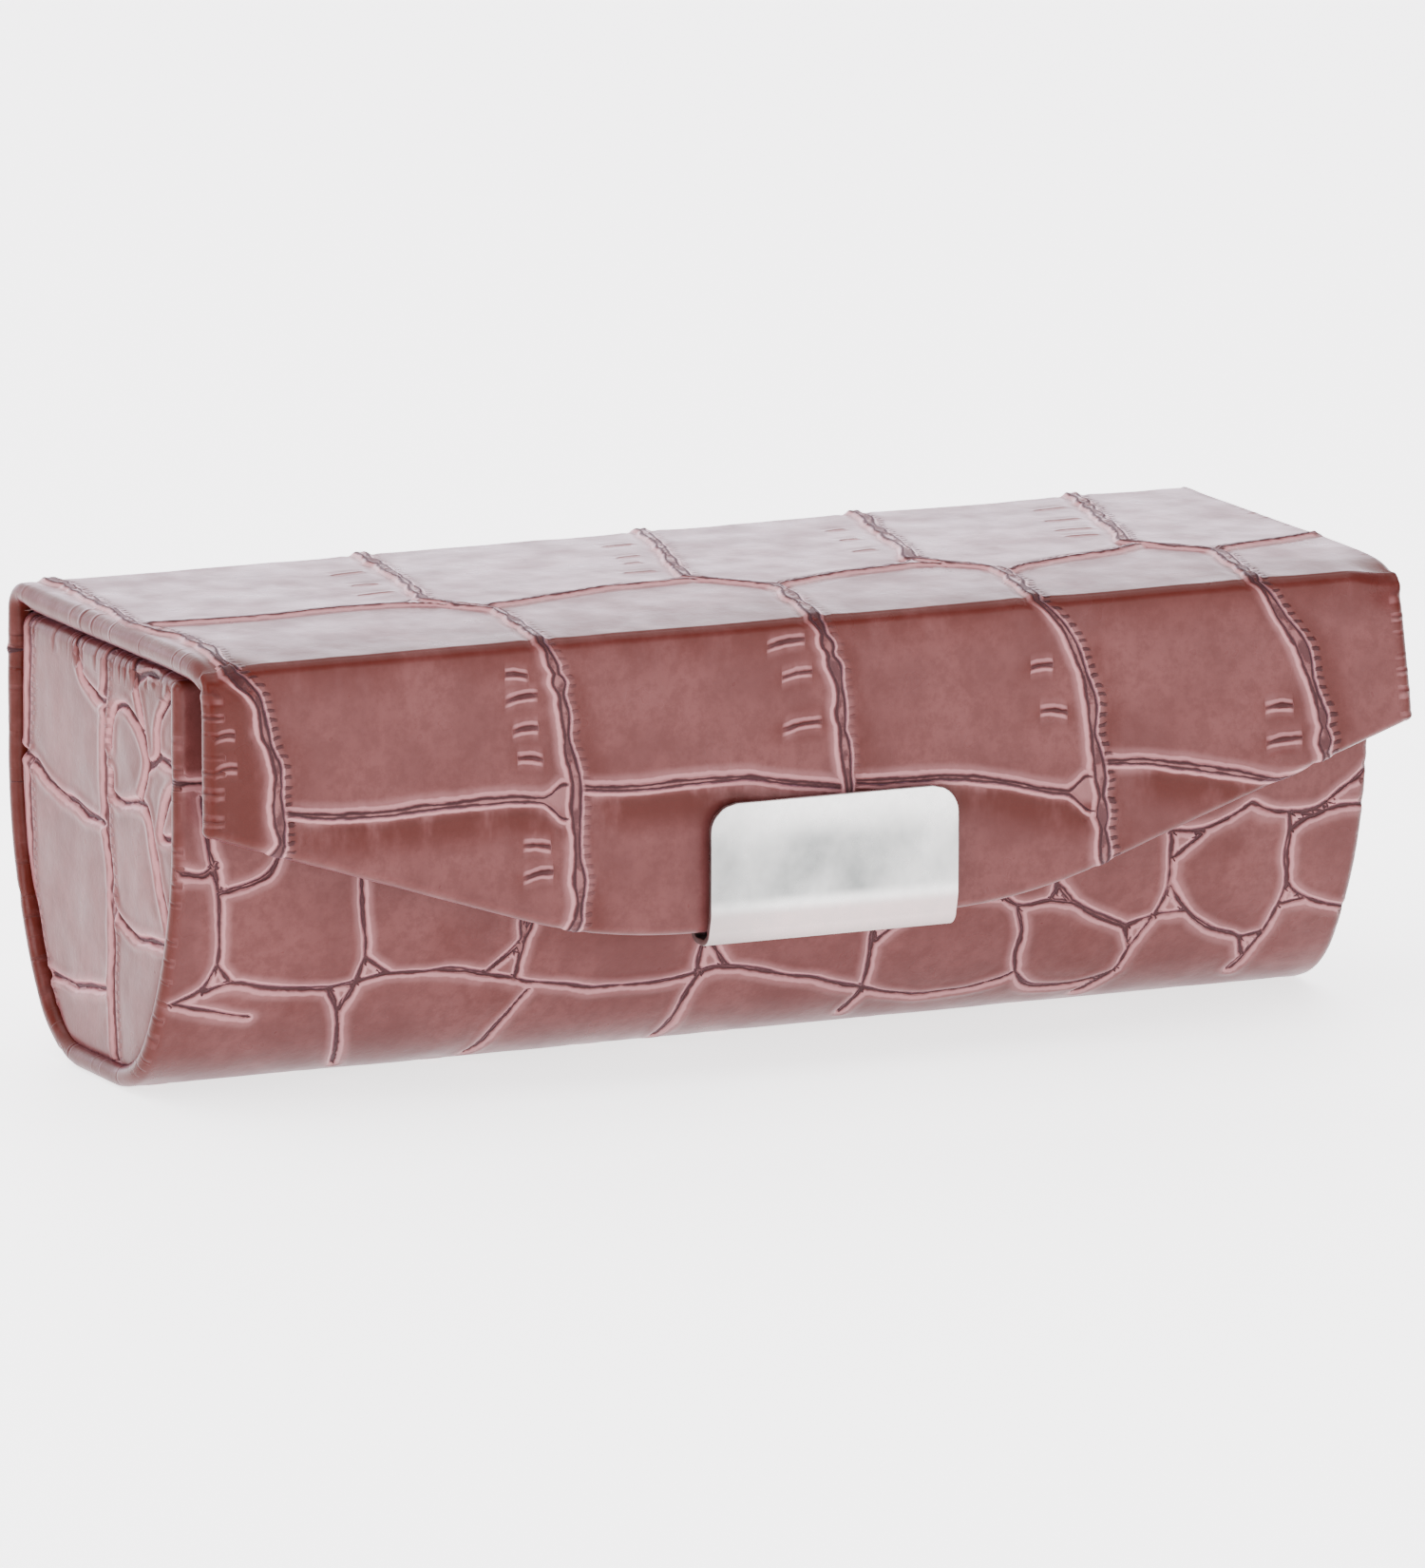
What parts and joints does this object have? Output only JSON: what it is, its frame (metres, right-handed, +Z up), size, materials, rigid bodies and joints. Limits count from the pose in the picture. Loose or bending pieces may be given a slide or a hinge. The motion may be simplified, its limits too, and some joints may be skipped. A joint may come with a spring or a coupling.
{
  "type": "travel jewelry case",
  "caption": "Small U-bottomed hard case with a flat hinged lid, a fold-down front flap with a magnetic metal clasp, an embossed leather-look cover, a lid mirror and a velvet ring insert.",
  "frame": {"origin": "centre of the flat strip under the case that it stands on", "axes": "+Z up, X along the case's length, -Y towards the front flap and its clasp"},
  "size_m": [0.092, 0.0363, 0.0328],
  "materials": {
    "croc_leather": "semi-gloss, embossed scales",
    "greyboard": "matte",
    "velvet": "soft short pile",
    "foam": "matte, fine cells",
    "steel": "plain rolled",
    "satin_metal": "satin nickel plate",
    "magnet": "nickel plated",
    "mirror": "silvered glass",
    "adhesive_pad": "matte foam tape"
  },
  "bodies": {
    "case_body": {"body_board": "greyboard", "body_cover": "croc_leather", "body_lining": "velvet", "left_end_board": "greyboard", "left_end_cover": "croc_leather", "left_end_lining": "velvet", "right_end_board": "greyboard", "right_end_cover": "croc_leather", "right_end_lining": "velvet", "strike_plate": "steel", "ring_foam": "foam", "ring_rolls": "velvet", "compartment_divider": "velvet", "rear_hinge_leather": "croc_leather", "rear_hinge_lining": "velvet"},
    "lid": {"lid_board": "greyboard", "lid_cover": "croc_leather", "lid_lining": "velvet", "mirror_glass": "mirror", "mirror_pad": "adhesive_pad", "flap_fold_leather": "croc_leather", "flap_fold_lining": "velvet"},
    "flap": {"flap_board": "greyboard", "flap_cover": "croc_leather", "flap_lining": "velvet", "clasp_plate": "satin_metal", "clasp_magnet": "magnet", "magnet_cup": "steel"}
  },
  "joints": [
    {"name": "lid_hinge", "type": "hinge", "parent": "case_body", "child": "lid", "pos_m": [0, 0.0152, 0.0328], "axis": [-1, 0, 0], "range_deg": [0, 105], "deforming": ["rear_hinge_leather", "rear_hinge_lining"]},
    {"name": "flap_fold", "type": "hinge", "parent": "lid", "child": "flap", "pos_m": [0, -0.0206, 0.0328], "axis": [-1, 0, 0], "range_deg": [0, 85], "deforming": ["flap_fold_leather", "flap_fold_lining"]}
  ]
}
